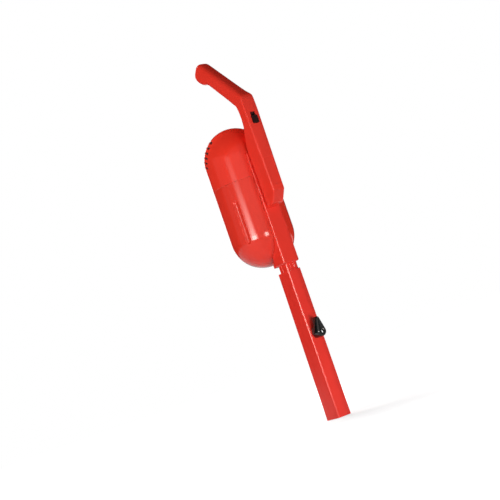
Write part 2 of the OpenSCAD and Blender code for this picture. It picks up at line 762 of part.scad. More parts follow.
module fan_casing() {
  z0 = fan0 + 1.5;
  color([0.72, 0.73, 0.75]) at_barrel() difference() {
    translate([0, 0, z0]) cylinder(h = fan_h, r = fan_r, $fn = 96);
    translate([0, 0, z0 - 1]) cylinder(h = fan_h - 0.5, r = fan_r - 1.2, $fn = 96);
    // air passes up through the motor
    for (a = [0:45:315]) rotate([0, 0, a + 22.5]) translate([25, 0, z0]) cylinder(h = 60, r = 5.5, $fn = 24);
    translate([0, 0, z0]) cylinder(h = 60, r = 12, $fn = 48);
    for (s = [-1, 1]) translate([s * bolt_x, 0, z0]) cylinder(h = 60, r = 2.1, $fn = 24);
  }
}

module arc_blade(r0, r1, n, z0, h, t, sweep) {
  // a curved blade: part of a thin ring whose edge runs from r0 out to r1
  c = (r0 + r1) / 2;
  q = (r1 - r0) * 0.72;
  for (k = [0:n - 1]) rotate([0, 0, k * 360 / n]) translate([0, 0, z0]) intersection() {
    translate([c, -sweep, 0]) difference() {
      cylinder(h = h, r = q + t, $fn = 64);
      translate([0, 0, -1]) cylinder(h = h + 2, r = q, $fn = 64);
    }
    difference() {
      cylinder(h = h, r = r1, $fn = 96);
      translate([0, 0, -1]) cylinder(h = h + 2, r = r0, $fn = 96);
    }
    translate([0, -sweep, -1]) cube([100, 100, h + 2]);
  }
}

module fan_impeller() {
  z0 = fan0 + 3;
  ro = fan_r - 4;
  color([0.76, 0.77, 0.79]) at_barrel() difference() {
    union() {
      ring(z0, z0 + 1, ro, 16, 96);
      arc_blade(17, ro - 0.6, blades, z0 + 0.5, 9.5, 1.2, 12);
      translate([0, 0, z0 + 9.5]) cylinder(h = 1.2, r = ro, $fn = 96);
      translate([0, 0, z0 + 6]) cylinder(h = 7, r = 9, $fn = 48);
    }
    translate([0, 0, z0 - 1]) cylinder(h = 20, r = shaft_r, $fn = 48);
  }
}

module fan_nut() {
  z0 = fan0 + 5;
  color([0.6, 0.6, 0.62]) at_barrel() difference() {
    translate([0, 0, z0]) cylinder(h = 4, r = 7.2, $fn = 6);
    translate([0, 0, z0 - 1]) cylinder(h = 8, r = shaft_r, $fn = 32);
  }
}

module diffuser() {
  z0 = fan0 + 15.3;
  color([0.2, 0.2, 0.21]) at_barrel() {
    ring(z0, z0 + 1.5, fan_r - 1.3, 12, 96);
    difference() {
      arc_blade(16, fan_r - 2, 9, z0 + 1, 7.4, 1.4, 10);
      // room for the heads of the motor's bolts
      for (s = [-1, 1]) translate([s * bolt_x, 0, mot0 - 5]) cylinder(h = 9, r = 4.5, $fn = 24);
    }
  }
}

module lower_bracket() {
  color([0.66, 0.67, 0.69]) at_barrel() difference() {
    union() {
      ring(mot0, mot0 + 9, 14.5, 11, 48);
      ring(mot0, mot0 + 1.8, 14.5, 8.5, 48);
      for (s = [-1, 1]) translate([s * 25 - 12, -6, mot0]) cube([24, 12, 4]);
      for (s = [-1, 1]) translate([s * bolt_x, 0, mot0]) cylinder(h = core0 - mot0, r = 5, $fn = 32);
    }
    translate([0, 0, mot0 + 1.8]) cylinder(h = 20, r = 11, $fn = 48);
    for (s = [-1, 1]) translate([s * bolt_x, 0, mot0 - 1]) cylinder(h = 20, r = 2.1, $fn = 24);
  }
}

module bearing(z0, h, ro) {
  difference() {
    translate([0, 0, z0]) cylinder(h = h, r = ro, $fn = 64);
    translate([0, 0, z0 - 1]) cylinder(h = h + 2, r = shaft_r + run_fit, $fn = 48);
    // shield recesses on both faces
    for (z = [z0 - 1, z0 + h - 0.4]) translate([0, 0, z]) difference() {
      cylinder(h = 1.4, r = ro - 2, $fn = 48);
      translate([0, 0, -1]) cylinder(h = 4, r = shaft_r + 2, $fn = 48);
    }
  }
}

module lower_bearing() {
  color([0.8, 0.8, 0.82]) at_barrel() bearing(mot0 + 1.8, 7, 11);
}

module stator_core() {
  color([0.45, 0.46, 0.48]) at_barrel() difference() {
    intersection() {
      translate([0, 0, core0]) cylinder(h = core_h, r = fan_r - 6, $fn = 96);
      translate([-(fan_r - 7.4), -31, core0]) cube([2 * (fan_r - 7.4), 62, core_h]);
    }
    translate([0, 0, core0 - 1]) cylinder(h = core_h + 2, r = core_r, $fn = 96);
    // windows for the field coils
    for (s = [-1, 1]) translate([-20, s > 0 ? 20 : -26, core0 - 1]) cube([40, 6, core_h + 2]);
    for (s = [-1, 1]) translate([s * bolt_x, 0, core0 - 1]) cylinder(h = core_h + 2, r = 2.1, $fn = 24);
  }
}

module field_coils() {
  color([0.72, 0.4, 0.16]) at_barrel() for (s = [-1, 1]) difference() {
    union() {
      translate([-18.5, s > 0 ? 21.4 : -25.4, core0 - 4]) cube([37, 4, core_h + 8]);
      for (z = [core0 - 5, core0 + core_h]) translate([-18.5, s > 0 ? 18.5 : -25.4, z]) cube([37, 6.9, 5]);
    }
    translate([0, 0, core0 - 9]) cylinder(h = core_h + 18, r = core_r - 1, $fn = 64);
  }
}

module motor_bolts() {
  color([0.7, 0.7, 0.72]) at_barrel() for (s = [-1, 1]) translate([s * bolt_x, 0, 0]) {
    translate([0, 0, mot0 - 1.5]) cylinder(h = core0 + core_h + 4 - mot0 + 1.5, r = 2, $fn = 24);
    translate([0, 0, core0 + core_h + 4]) cylinder(h = 2.4, r = 3.8, $fn = 6);
    translate([0, 0, mot0 - 4.5]) cylinder(h = 3, r = 3.8, $fn = 6);
  }
}

module motor_shaft() {
  z0 = fan0 + 4;
  color([0.8, 0.8, 0.82]) at_barrel() union() {
    translate([0, 0, z0]) cylinder(h = top0 + 10 - z0, r = shaft_r, $fn = 48);
    // shoulder between the lower bearing and the core
    translate([0, 0, mot0 + 9.1]) cylinder(h = core0 - 3 - mot0 - 9.1, r = shaft_r + 1.6, $fn = 48);
  }
}

module armature_core() {
  color([0.4, 0.38, 0.36]) at_barrel() difference() {
    union() {
      translate([0, 0, core0 + 0.5]) cylinder(h = core_h - 1, r = core_r - 0.6, $fn = 96);
      // end turns
      translate([0, 0, core0 - 3]) cylinder(h = core_h + 5, r = core_r - 5, $fn = 64);
    }
    for (a = [0:30:330]) rotate([0, 0, a]) translate([core_r - 2.6, -1, core0 - 1]) cube([4, 2, core_h + 2]);
    translate([0, 0, core0 - 9]) cylinder(h = core_h + 20, r = shaft_r, $fn = 48);
  }
}

module commutator() {
  color([0.75, 0.45, 0.22]) at_barrel() difference() {
    translate([0, 0, core0 + core_h + 2]) cylinder(h = top0 - core0 - core_h - 3.5, r = 11, $fn = 64);
    translate([0, 0, core0]) cylinder(h = 80, r = shaft_r, $fn = 48);
    for (a = [0:15:345]) rotate([0, 0, a]) translate([10.2, -0.25, core0 + core_h + 4]) cube([2, 0.5, 30]);
  }
}

module upper_bracket() {
  z0 = core0 + core_h;
  color([0.15, 0.15, 0.16]) at_barrel() difference() {
    union() {
      for (s = [-1, 1]) translate([s * bolt_x, 0, z0]) cylinder(h = 4, r = 5.5, $fn = 32);
      for (s = [-1, 1]) translate([s > 0 ? 18.5 : -37, -5.5, z0 + 1]) cube([18.5, 11, 3]);
      for (s = [-1, 1]) translate([s > 0 ? 18.5 : -22.5, -9.5, z0 + 1]) cube([4, 19, top0 - z0 + 1]);
      translate([-22.5, -9.5, top0]) cube([45, 19, 2]);
      ring(top0, top0 + 8, 13.5, 9.5, 64);
      ring(top0, top0 + 2, 13.5, 7, 64);
    }
    translate([0, 0, top0 + 2]) cylinder(h = 20, r = 9.5, $fn = 64);
    translate([0, 0, top0 - 1]) cylinder(h = 5, r = 7, $fn = 48);
    for (s = [-1, 1]) translate([s * bolt_x, 0, z0 - 1]) cylinder(h = 20, r = 2.1, $fn = 24);
    // windows for the brush holders
    translate([-40, -3.6, com0 - 3.6]) cube([80, 7.2, 7.2]);
  }
}

module upper_bearing() {
  color([0.8, 0.8, 0.82]) at_barrel() bearing(top0 + 2, 6, 9.5);
}

module brush_holders() {
  color([0.8, 0.62, 0.28]) at_barrel() for (s = [-1, 1]) difference() {
    translate([s > 0 ? 12.4 : -30.4, -3.6, com0 - 3.6]) cube([18, 7.2, 7.2]);
    translate([s > 0 ? 11 : -29, -2.7, com0 - 2.7]) cube([18, 5.4, 5.4]);
  }
}

module carbon_brushes() {
  color([0.12, 0.12, 0.12]) at_barrel() for (s = [-1, 1]) difference() {
    translate([s > 0 ? 10 : -29, -2.7, com0 - 2.7]) cube([19, 5.4, 5.4]);
    translate([0, 0, com0 - 5]) cylinder(h = 10, r = 11.1, $fn = 64);
  }
}

module upper_mount() {
  color([0.06, 0.06, 0.06]) at_barrel() difference() {
    translate([0, 0, top0 + 3]) cylinder(h = 8, r = 16.3, $fn = 64);
    translate([0, 0, top0 + 2]) cylinder(h = 6, r = 13.5, $fn = 64);
    translate([0, 0, top0 + 2]) cylinder(h = 20, r = 9, $fn = 64);
  }
}

module suppressor() {
  color([0.85, 0.7, 0.2]) at_barrel()
    translate([-11, 8 + shell_t - barrel_r, z_seam + 3])
      cube([22, barrel_r - shell_t - 12 - well_r, 16]);
}

// ---------------------------------------------------------------- dust container

// half section of the container: a quarter circle with a straight wall above it
module cup_profile(r, z1) {
  intersection() {
    translate([0, z_cup]) union() {
      square([r, z1 - z_cup]);
      circle(r, $fn = 128);
    }
    translate([0, z_cup - r - 1]) square([r + 1, z1 - z_cup + r + 1]);
  }
}

// finger grooves on both sides of the container
module groove(r) {
  z0 = z_cup - 9;
  z1 = z_cup + 75;
  for (s = [-1, 1]) rotate([0, 0, s * 62]) translate([0, -barrel_r - 5, 0]) {
    translate([0, 0, z0]) cylinder(h = z1 - z0, r = r, $fn = 48);
    for (z = [z0, z1]) translate([0, 0, z]) sphere(r, $fn = 48);
  }
}

module dust_container() {
  r = barrel_r;
  z_rim = z_seam - gap;
  color([0.87, 0.2, 0.14]) at_barrel() difference() {
    union() {
      rotate_extrude($fn = 128) cup_profile(r, z_rim);
      // pad that sits on the duct's foot
      translate([-8.7, ch_y, z_bot]) cube([17.4, 17, 12]);
    }
    difference() {
      rotate_extrude($fn = 128) cup_profile(r - shell_t, z_rim - 6);
      translate([-ch_w - shell_t, -r - 5, 0]) cube([2 * (ch_w + shell_t), r + 5 + ch_y + shell_t, 1000]);
      // pads behind the finger grooves
      groove(10.5);
    }
    // thicker band along the rim
    translate([0, 0, z_rim - 6 - eps]) linear_extrude(8) rim_outline(r - shell_t - gap - 3.4, 3.2);
    groove(8);
    // channel that straddles the duct
    translate([-ch_w, -r - 5, 0]) cube([2 * ch_w, r + 5 + ch_y, 1000]);
    ycyl(0, win_z, ch_y - 1, ch_y + shell_t + 1, win_r + 0.5, 48);
  }
}

module bag_collar() {
  y0 = ch_y + shell_t;
  color([0.78, 0.68, 0.5]) at_barrel() difference() {
    translate([-ch_w, y0, win_z - 28]) cube([2 * ch_w, 2, 52]);
    ycyl(0, win_z, y0 - 1, y0 + 3, win_r - 1, 48);
  }
}

module bag_form(r, i) {
  y0 = ch_y + shell_t + 2;
  difference() {
    rotate_extrude($fn = 96) union() {
      cup_profile(r, z_seam - 34);
      polygon([[0, z_seam - 34], [r, z_seam - 34], [r - 12, z_seam - 12 - i], [0, z_seam - 12 - i]]);
    }
    translate([-200, -200, 0]) cube([400, 200 + y0 + i, 2000]);
  }
}

module dust_bag() {
  y0 = ch_y + shell_t + 2;
  r = barrel_r - shell_t - 8;
  color([0.8, 0.72, 0.56]) at_barrel() difference() {
    bag_form(r, 0);
    bag_form(r - 1.5, 1.5);
    ycyl(0, win_z, y0 - 1, y0 + 3, win_r - 1, 48);
  }
}

extension_tube();
hook_clip();
cord_hook();
spigot();
duct_frame();
inlet_seal();
frame_screws();
handle_left();
handle_right();
handle_screws();
switch_guide();
switch_body();
switch_slider();
motor_housing();
motor_base();
base_screws();
rim_seal();
cord_gland();
exhaust_foam();
pre_filter();
filter_grille();
lower_mount();
fan_cover();
fan_casing();
diffuser();
fan_impeller();
fan_nut();
lower_bracket();
lower_bearing();
stator_core();
field_coils();
motor_bolts();
motor_shaft();
armature_core();
commutator();
upper_bracket();
upper_bearing();
brush_holders();
carbon_brushes();
upper_mount();
suppressor();
dust_container();
bag_collar();
dust_bag();
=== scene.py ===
"""Looks of the stick vacuum cleaner: materials, cord hook, camera, light and floor."""
import math

import bmesh
import bpy
from mathutils import Matrix, Vector


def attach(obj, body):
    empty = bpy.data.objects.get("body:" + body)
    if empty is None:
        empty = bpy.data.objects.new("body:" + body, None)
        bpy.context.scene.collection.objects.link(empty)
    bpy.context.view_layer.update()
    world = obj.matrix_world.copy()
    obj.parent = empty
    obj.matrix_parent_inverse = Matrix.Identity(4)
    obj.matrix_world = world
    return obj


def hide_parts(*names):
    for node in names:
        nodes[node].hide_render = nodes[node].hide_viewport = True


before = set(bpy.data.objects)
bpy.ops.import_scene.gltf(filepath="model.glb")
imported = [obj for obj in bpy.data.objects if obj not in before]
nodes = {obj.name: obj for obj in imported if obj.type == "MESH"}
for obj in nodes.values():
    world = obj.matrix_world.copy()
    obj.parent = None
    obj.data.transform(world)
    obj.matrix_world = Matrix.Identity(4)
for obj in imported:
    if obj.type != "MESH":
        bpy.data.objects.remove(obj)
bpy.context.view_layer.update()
scene = bpy.context.scene

# places of the CAD model that the hook follows, in mm around the barrel's axis
Y_AXIS = 45.6
WAND_FRONT = -67.6
HOOK_Z = 177.0
HOOK_FRONT, HOOK_BACK = WAND_FRONT - 22.0, WAND_FRONT - 0.3
HOOK_R, HOOK_TIP_R, HOOK_LEN = 11.0, 4.0, 27.5


def at(x, y, z):
    """A point given in mm around the barrel's axis, in metres in the row frame."""
    return Vector((x, y + Y_AXIS, z)) / 1000


def add_object(name, data):
    obj = bpy.data.objects.new(name, data)
    scene.collection.objects.link(obj)
    return obj


def mesh_object(name, bm):
    """Object with the mesh of a bmesh, which is used up."""
    mesh = bpy.data.meshes.new(name)
    bm.to_mesh(mesh)
    bm.free()
    return add_object(name, mesh)


# ---------------------------------------------------------------- node trees
class Nodes:
    """Adds nodes to a tree and links them."""

    def __init__(self, tree):
        self.tree = tree
        tree.nodes.clear()

    def add(self, kind, **values):
        """New node. A value sets the attribute of that name, or else the input."""
        node = self.tree.nodes.new(kind)
        for key, value in values.items():
            if hasattr(node, key):
                setattr(node, key, value)
            else:
                node.inputs[key].default_value = value
        return node

    def link(self, a, b):
        self.tree.links.new(a, b)

    def feed(self, socket, value):
        """Give an input another node's output, or a fixed value."""
        if isinstance(value, bpy.types.NodeSocket):
            self.link(value, socket)
        else:
            socket.default_value = value

    def maths(self, operation, *values):
        node = self.add("ShaderNodeMath", operation=operation)
        for socket, value in zip(node.inputs, values):
            self.feed(socket, value)
        return node.outputs[0]

    def spread(self, value, low, high, start=0.3, end=0.7, curve="LINEAR"):
        """Map a value from start..end to low..high."""
        node = self.add("ShaderNodeMapRange", interpolation_type=curve)
        limits = {"From Min": start, "From Max": end, "To Min": low, "To Max": high}
        for key, number in limits.items():
            node.inputs[key].default_value = number
        self.link(value, node.inputs["Value"])
        return node.outputs["Result"]


class Graph(Nodes):
    """The nodes of a new material, around one principled shader."""

    def __init__(self, name):
        self.mat = bpy.data.materials.new(name)
        self.mat.use_nodes = True
        super().__init__(self.mat.node_tree)
        self.out = self.add("ShaderNodeOutputMaterial")
        self.bsdf = self.add("ShaderNodeBsdfPrincipled")
        self.link(self.bsdf.outputs["BSDF"], self.out.inputs["Surface"])

    def shader(self, values):
        """Set inputs of the principled shader to fixed values."""
        for key, value in values.items():
            self.bsdf.inputs[key].default_value = value

    def coords(self, scale=(1, 1, 1)):
        texture = self.add("ShaderNodeTexCoord")
        mapping = self.add("ShaderNodeMapping")
        mapping.inputs["Scale"].default_value = scale
        self.link(texture.outputs["Object"], mapping.inputs["Vector"])
        return mapping.outputs["Vector"]

    def noise(self, vector, scale, detail=3.0, rough=0.5):
        node = self.add("ShaderNodeTexNoise", Scale=scale, Detail=detail, Roughness=rough)
        self.link(vector, node.inputs["Vector"])
        return node.outputs["Fac"]

    def mix(self, fac, a, b):
        """Blend two colours, each a triple or a socket."""
        node = self.add("ShaderNodeMix", data_type="RGBA")
        self.link(fac, node.inputs[0])
        for socket, value in ((node.inputs[6], a), (node.inputs[7], b)):
            self.feed(socket, (*value, 1) if isinstance(value, tuple) else value)
        return node.outputs[2]

    def bump(self, height, strength, distance, normal=None):
        node = self.add("ShaderNodeBump", Strength=strength, Distance=distance)
        self.link(height, node.inputs["Height"])
        if normal is not None:
            self.link(normal, node.inputs["Normal"])
        return node.outputs["Normal"]


# ---------------------------------------------------------------- materials
def plastic(name, colour, shade, rough=(0.2, 0.3), specular=0.5, grain=900.0, depth=0.00004,
            bevel=0.0006, edge_highlight_paint=None):
    """Moulded plastic: slight colour drift, uneven gloss, fine skin grain, rounded edges.

    With an edge highlight colour, the edges are painted paler, a painted highlight along them.
    """
    g = Graph(name)
    where = g.coords()
    drift = g.spread(g.noise(where, 14.0, 4.0), 0.0, 1.0)
    tint = g.mix(drift, colour, shade)
    streaks = g.noise(g.coords((1, 1, 0.18)), 160.0, 5.0, 0.6)
    g.link(g.spread(streaks, *rough), g.bsdf.inputs["Roughness"])
    edge = g.add("ShaderNodeBevel", samples=4)
    edge.inputs["Radius"].default_value = bevel
    # painted highlight: the colour turns paler where the rounded edge normal leaves the surface
    # normal
    if edge_highlight_paint is not None:
        turn = g.add("ShaderNodeVectorMath", operation="DOT_PRODUCT")
        g.link(edge.outputs["Normal"], turn.inputs[0])
        g.link(g.add("ShaderNodeNewGeometry").outputs["Normal"], turn.inputs[1])
        tint = g.mix(g.spread(turn.outputs["Value"], 0.6, 0.0, 0.9, 0.99), tint, edge_highlight_paint)
    g.link(tint, g.bsdf.inputs["Base Color"])
    skin = g.bump(g.noise(where, grain, 3.0), 0.25, depth, edge.outputs["Normal"])
    skin = g.bump(g.noise(where, 45.0, 2.0), 0.12, 0.00008, skin)
    g.link(skin, g.bsdf.inputs["Normal"])
    g.shader({"Specular IOR Level": specular})
    return g.mat


def metal(name, colour, rough=(0.2, 0.4)):
    """Turned or stamped metal with fine brushing."""
    g = Graph(name)
    g.shader({"Metallic": 1.0})
    where = g.coords((1, 1, 6))
    darker = tuple(c * 0.8 for c in colour)
    tint = g.mix(g.spread(g.noise(where, 90.0, 4.0), 0.0, 1.0), colour, darker)
    g.link(tint, g.bsdf.inputs["Base Color"])
    g.link(g.spread(g.noise(where, 400.0, 4.0), *rough), g.bsdf.inputs["Roughness"])
    g.link(g.bump(g.noise(where, 900.0, 2.0), 0.2, 0.00003), g.bsdf.inputs["Normal"])
    return g.mat


def fibre(name, colour, shade, scale=300.0, rough=0.85):
    """Paper, card, felt or foam: a matt fibrous surface."""
    g = Graph(name)
    fibres = g.noise(g.coords((1, 1, 3)), scale, 8.0, 0.7)
    g.link(g.mix(g.spread(fibres, 0.0, 1.0), colour, shade), g.bsdf.inputs["Base Color"])
    g.shader({"Roughness": rough})
    g.link(g.bump(fibres, 0.5, 0.0003), g.bsdf.inputs["Normal"])
    return g.mat


def grey(level):
    return (level, level, level)


# the two glossy mouldings of the barrel, the satin ones of frame, handle and wand
# the shells carry a painted highlight colour along their edges (the paler red below)
SHELL = {"rough": (0.03, 0.06), "specular": 0.35, "bevel": 0.001, "edge_highlight_paint": (0.95, 0.17, 0.12)}
RED_DEEP = (0.74, 0.031, 0.016)
red_shell = plastic("red_shell", (0.78, 0.036, 0.019), RED_DEEP, **SHELL)
red_cup = plastic("red_cup", (0.71, 0.034, 0.018), (0.68, 0.029, 0.015), **SHELL)
red_frame = plastic("red_frame", (0.77, 0.034, 0.022), RED_DEEP, (0.15, 0.24), 0.35)
red_handle = plastic("red_handle", (0.77, 0.037, 0.022), RED_DEEP, (0.22, 0.27), 0.35)
red_wand = plastic("red_wand", (0.76, 0.034, 0.022), (0.72, 0.030, 0.019), (0.16, 0.26), 0.35)
black_gloss = plastic("black_gloss", grey(0.004), grey(0.006), (0.08, 0.12))
black_grip = plastic("black_grip", (0.022, 0.006, 0.005), (0.026, 0.008, 0.008), (0.4, 0.55), 0.15)
black_rubber = plastic("black_rubber", grey(0.014), grey(0.024), (0.55, 0.7), grain=1500.0,
                       depth=0.0001)
dark_plastic = plastic("dark_plastic", (0.03, 0.03, 0.032), (0.045, 0.045, 0.048), (0.4, 0.55))
steel = metal("steel", (0.62, 0.62, 0.64))
aluminium = metal("aluminium", (0.75, 0.76, 0.78), (0.3, 0.5))
lamination = metal("lamination", (0.35, 0.35, 0.37), (0.45, 0.6))
copper = metal("copper", (0.75, 0.33, 0.14), (0.25, 0.4))
brass = metal("brass", (0.78, 0.58, 0.25), (0.25, 0.4))
carbon = plastic("carbon", (0.02, 0.02, 0.021), grey(0.03), (0.5, 0.65))
paper = fibre("paper", (0.62, 0.48, 0.30), (0.52, 0.39, 0.24))
card = fibre("card", (0.55, 0.43, 0.27), (0.48, 0.37, 0.22), 500.0)
felt = fibre("felt", (0.16, 0.165, 0.17), (0.09, 0.095, 0.1), 700.0, 0.95)
foam = fibre("foam", grey(0.012), grey(0.006), 900.0, 0.95)
film = plastic("film", (0.75, 0.55, 0.08), (0.68, 0.48, 0.07))

FINISH = {
    red_shell: ("motor_housing",),
    red_cup: ("dust_container",),
    red_frame: ("duct_frame", "spigot"),
    red_handle: ("handle_left", "handle_right"),
    red_wand: ("extension_tube",),
    black_gloss: ("cord_hook",),
    black_grip: ("switch_slider", "switch_guide"),
    black_rubber: ("cord_gland", "inlet_seal", "rim_seal", "lower_mount", "upper_mount"),
    dark_plastic: ("motor_base", "filter_grille", "switch_body", "diffuser", "upper_bracket"),
    steel: ("hook_clip", "frame_screws", "handle_screws", "base_screws", "fan_nut", "motor_bolts",
            "motor_shaft", "lower_bearing", "upper_bearing"),
    aluminium: ("fan_cover", "fan_casing", "fan_impeller", "lower_bracket"),
    lamination: ("stator_core", "armature_core"),
    copper: ("field_coils", "commutator"),
    brass: ("brush_holders",),
    carbon: ("carbon_brushes",),
    felt: ("pre_filter",),
    foam: ("exhaust_foam",),
    card: ("bag_collar",),
    paper: ("dust_bag",),
    film: ("suppressor",),
}


def dress(obj, material):
    obj.data.materials.clear()
    obj.data.materials.append(material)


for material, names in FINISH.items():
    for name in names:
        dress(nodes[name], material)


def shading_group(angle):
    """Geometry nodes that join a node's faces and shade them smooth up to an angle."""
    tree = bpy.data.node_groups.new("smooth_by_angle", "GeometryNodeTree")
    tree.interface.new_socket("Geometry", in_out="INPUT", socket_type="NodeSocketGeometry")
    tree.interface.new_socket("Geometry", in_out="OUTPUT", socket_type="NodeSocketGeometry")
    g = Nodes(tree)
    start, end = g.add("NodeGroupInput"), g.add("NodeGroupOutput")
    plain = g.add("GeometryNodeRemoveAttribute")
    plain.inputs["Name"].default_value = "custom_normal"
    merge = g.add("GeometryNodeMergeByDistance")
    merge.inputs["Distance"].default_value = 1e-6
    faces = g.add("GeometryNodeSetShadeSmooth", domain="FACE")
    edges = g.add("GeometryNodeSetShadeSmooth", domain="EDGE")
    edges.inputs["Shade Smooth"].default_value = False
    bend = g.add("GeometryNodeInputMeshEdgeAngle")
    sharp = g.add("FunctionNodeCompare", data_type="FLOAT", operation="GREATER_THAN")
    sharp.inputs[1].default_value = math.radians(angle)
    chain = (start, plain, merge, faces, edges, end)
    for a, b in zip(chain, chain[1:]):
        g.link(a.outputs[0], b.inputs[0])
    g.link(bend.outputs["Unsigned Angle"], sharp.inputs[0])
    g.link(sharp.outputs[0], edges.inputs["Selection"])
    return tree


SMOOTH = shading_group(angle=32)
for node in nodes.values():
    node.modifiers.new("smooth", "NODES").node_group = SMOOTH


# ---------------------------------------------------------------- cord hook
def teardrop(inset):
    """Outline of the hook's disc, drawn in by an inset, as points (x, z) round its pivot."""
    least = 0.15
    round_steps, side_steps, tip_steps = 40, 10, 20
    r0, r1 = HOOK_R - inset, max(HOOK_TIP_R - inset, least)
    lean = math.asin((HOOK_R - HOOK_TIP_R) / HOOK_LEN)
    tip = HOOK_LEN - max(inset - HOOK_TIP_R + least, 0) / math.sin(lean)
    points = []
    for k in range(round_steps + 1):
        a = math.pi - lean + (math.pi + 2 * lean) * k / round_steps
        points.append((r0 * math.cos(a), r0 * math.sin(a)))
    low = points[-1]
    high = (r1 * math.cos(lean), tip + r1 * math.sin(lean))
    reach, climb = high[0] - low[0], high[1] - low[1]
    for k in range(1, side_steps):
        points.append((low[0] + reach * k / side_steps, low[1] + climb * k / side_steps))
    for k in range(tip_steps + 1):
        a = lean + (math.pi - 2 * lean) * k / tip_steps
        points.append((r1 * math.cos(a), tip + r1 * math.sin(a)))
    for k in range(1, side_steps):
        points.append((-high[0] + reach * k / side_steps, high[1] - climb * k / side_steps))
    return points


def loft(bm, rings):
    """Closed skin through rings of equally many points, with a fan over each end."""
    rows = [[bm.verts.new(at(*point)) for point in ring] for ring in rings]
    count = len(rows[0])
    for a, b in zip(rows, rows[1:]):
        for k in range(count):
            bm.faces.new((a[k], a[(k + 1) % count], b[(k + 1) % count], b[k]))
    for row in (rows[0], rows[-1]):
        centre = bm.verts.new(sum((v.co for v in row), Vector()) / count)
        for k in range(count):
            bm.faces.new((row[k], row[(k + 1) % count], centre))
    bmesh.ops.recalc_face_normals(bm, faces=bm.faces[:])


QUARTER = [math.pi / 2 * k / 12 for k in range(13)]


def hook_piece():
    """Teardrop hook with a full shoulder, a dished thumb face, its throat and its pivot."""
    shoulder, depth = 3.6, 5.5
    dish, dish_lift, dish_rings = 2.8, 7, 12
    # insets and levels, from the rounded back edge over the shoulder to the front
    levels = [(0.5, HOOK_BACK), (0.12, HOOK_BACK - 0.25), (0.0, HOOK_BACK - 0.9),
              (0.0, HOOK_FRONT + 9)]
    levels += [(shoulder * (1 - math.cos(a)), HOOK_FRONT + depth * (1 - math.sin(a)))
               for a in QUARTER]
    rings = [[(x, y, HOOK_Z + z) for x, z in teardrop(inset)] for inset, y in levels]
    rim = teardrop(shoulder)
    for k in range(1, dish_rings):
        share = 1 - k / dish_rings
        y = HOOK_FRONT + dish * (1 - share * share) ** 2
        lift = HOOK_Z + dish_lift * (1 - share)
        rings.append([(x * share, y, lift + z * share) for x, z in rim])
    bm = bmesh.new()
    loft(bm, rings)
    body = mesh_object("hook_body", bm)

    # throat that takes the cord, open at the tip
    fillet, half_width = 4, 20
    root, bottom = HOOK_Z + 15, HOOK_BACK - 3.7
    above, behind = root + 40, HOOK_BACK + 6
    profile = [(bottom - fillet, above), (behind, above), (behind, root - fillet)]
    profile += [(bottom - fillet * math.sin(a), root - fillet * math.cos(a)) for a in QUARTER]
    bm = bmesh.new()
    loft(bm, [[(x, y, z) for y, z in profile] for x in (-half_width, half_width)])
    cutter = mesh_object("hook_throat", bm)
    cut = body.modifiers.new("throat", "BOOLEAN")
    cut.operation, cut.solver, cut.object = "DIFFERENCE", "EXACT", cutter
    depsgraph = bpy.context.evaluated_depsgraph_get()
    shape = bpy.data.meshes.new_from_object(body.evaluated_get(depsgraph))
    body.modifiers.clear()
    body.data = shape
    bpy.data.objects.remove(cutter)

    # pivot with its clip groove and a chamfer, let a little into the body
    r_pin, r_groove, chamfer = 4.0, 3.0, 0.5
    start, end = HOOK_BACK - 2, WAND_FRONT + 8.0
    groove, groove_end = WAND_FRONT + 5.3, WAND_FRONT + 6.5
    radii = [(start, r_pin), (groove, r_pin), (groove, r_groove), (groove_end, r_groove),
             (groove_end, r_pin), (end - chamfer, r_pin), (end, r_pin - chamfer)]
    turns = [math.tau * k / 32 for k in range(32)]
    bm = bmesh.new()
    bm.from_mesh(shape)
    loft(bm, [[(r * math.cos(a), y, HOOK_Z + r * math.sin(a)) for a in turns] for y, r in radii])
    bm.to_mesh(shape)
    bm.free()
    body.modifiers.new("smooth", "NODES").node_group = SMOOTH
    dress(body, black_gloss)
    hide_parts("cord_hook")
    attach(body, "hook")
    return body


hook = hook_piece()

# ---------------------------------------------------------------- camera
AZIMUTH, ELEVATION, ROLL = math.radians(-35.0), math.radians(-5.3), math.radians(19.1)
DISTANCE = 2.6
AIM = Vector((-0.02796, 0.06518, 0.3866))
FOCAL_PX, FRAME_PX, SENSOR_MM = 1239.3, 500.0, 36.0

away = Vector((math.sin(AZIMUTH) * math.cos(ELEVATION), -math.cos(AZIMUTH) * math.cos(ELEVATION),
               math.sin(ELEVATION)))
right = Vector((math.cos(AZIMUTH), math.sin(AZIMUTH), 0.0))
up = away.cross(right)
cam_right = right * math.cos(ROLL) - up * math.sin(ROLL)
cam_up = right * math.sin(ROLL) + up * math.cos(ROLL)

camera_data = bpy.data.cameras.new("camera")
camera_data.sensor_width = SENSOR_MM
camera_data.lens = FOCAL_PX / FRAME_PX * SENSOR_MM
camera = add_object("camera", camera_data)
rotation = Matrix((cam_right, cam_up, away)).transposed()
camera.matrix_world = Matrix.Translation(AIM + away * DISTANCE) @ rotation.to_4x4()
scene.camera = camera

# ---------------------------------------------------------------- lamps
WARM = (1.0, 0.93, 0.86)
SET_Y = 0.04


def direction(azimuth, elevation):
    """Unit vector towards a bearing: 0 is the front, 90 is +X."""
    a, e = math.radians(azimuth), math.radians(elevation)
    return Vector((math.sin(a) * math.cos(e), -math.cos(a) * math.cos(e), math.sin(e)))


def lamp_object(name, data, place, facing):
    """Area lamp at a place, with its back towards the facing direction."""
    obj = add_object(name, data)
    obj.location = place
    obj.rotation_mode = "QUATERNION"
    obj.rotation_quaternion = facing.to_track_quat("Z", "Y")
    obj.visible_camera = False
    return obj


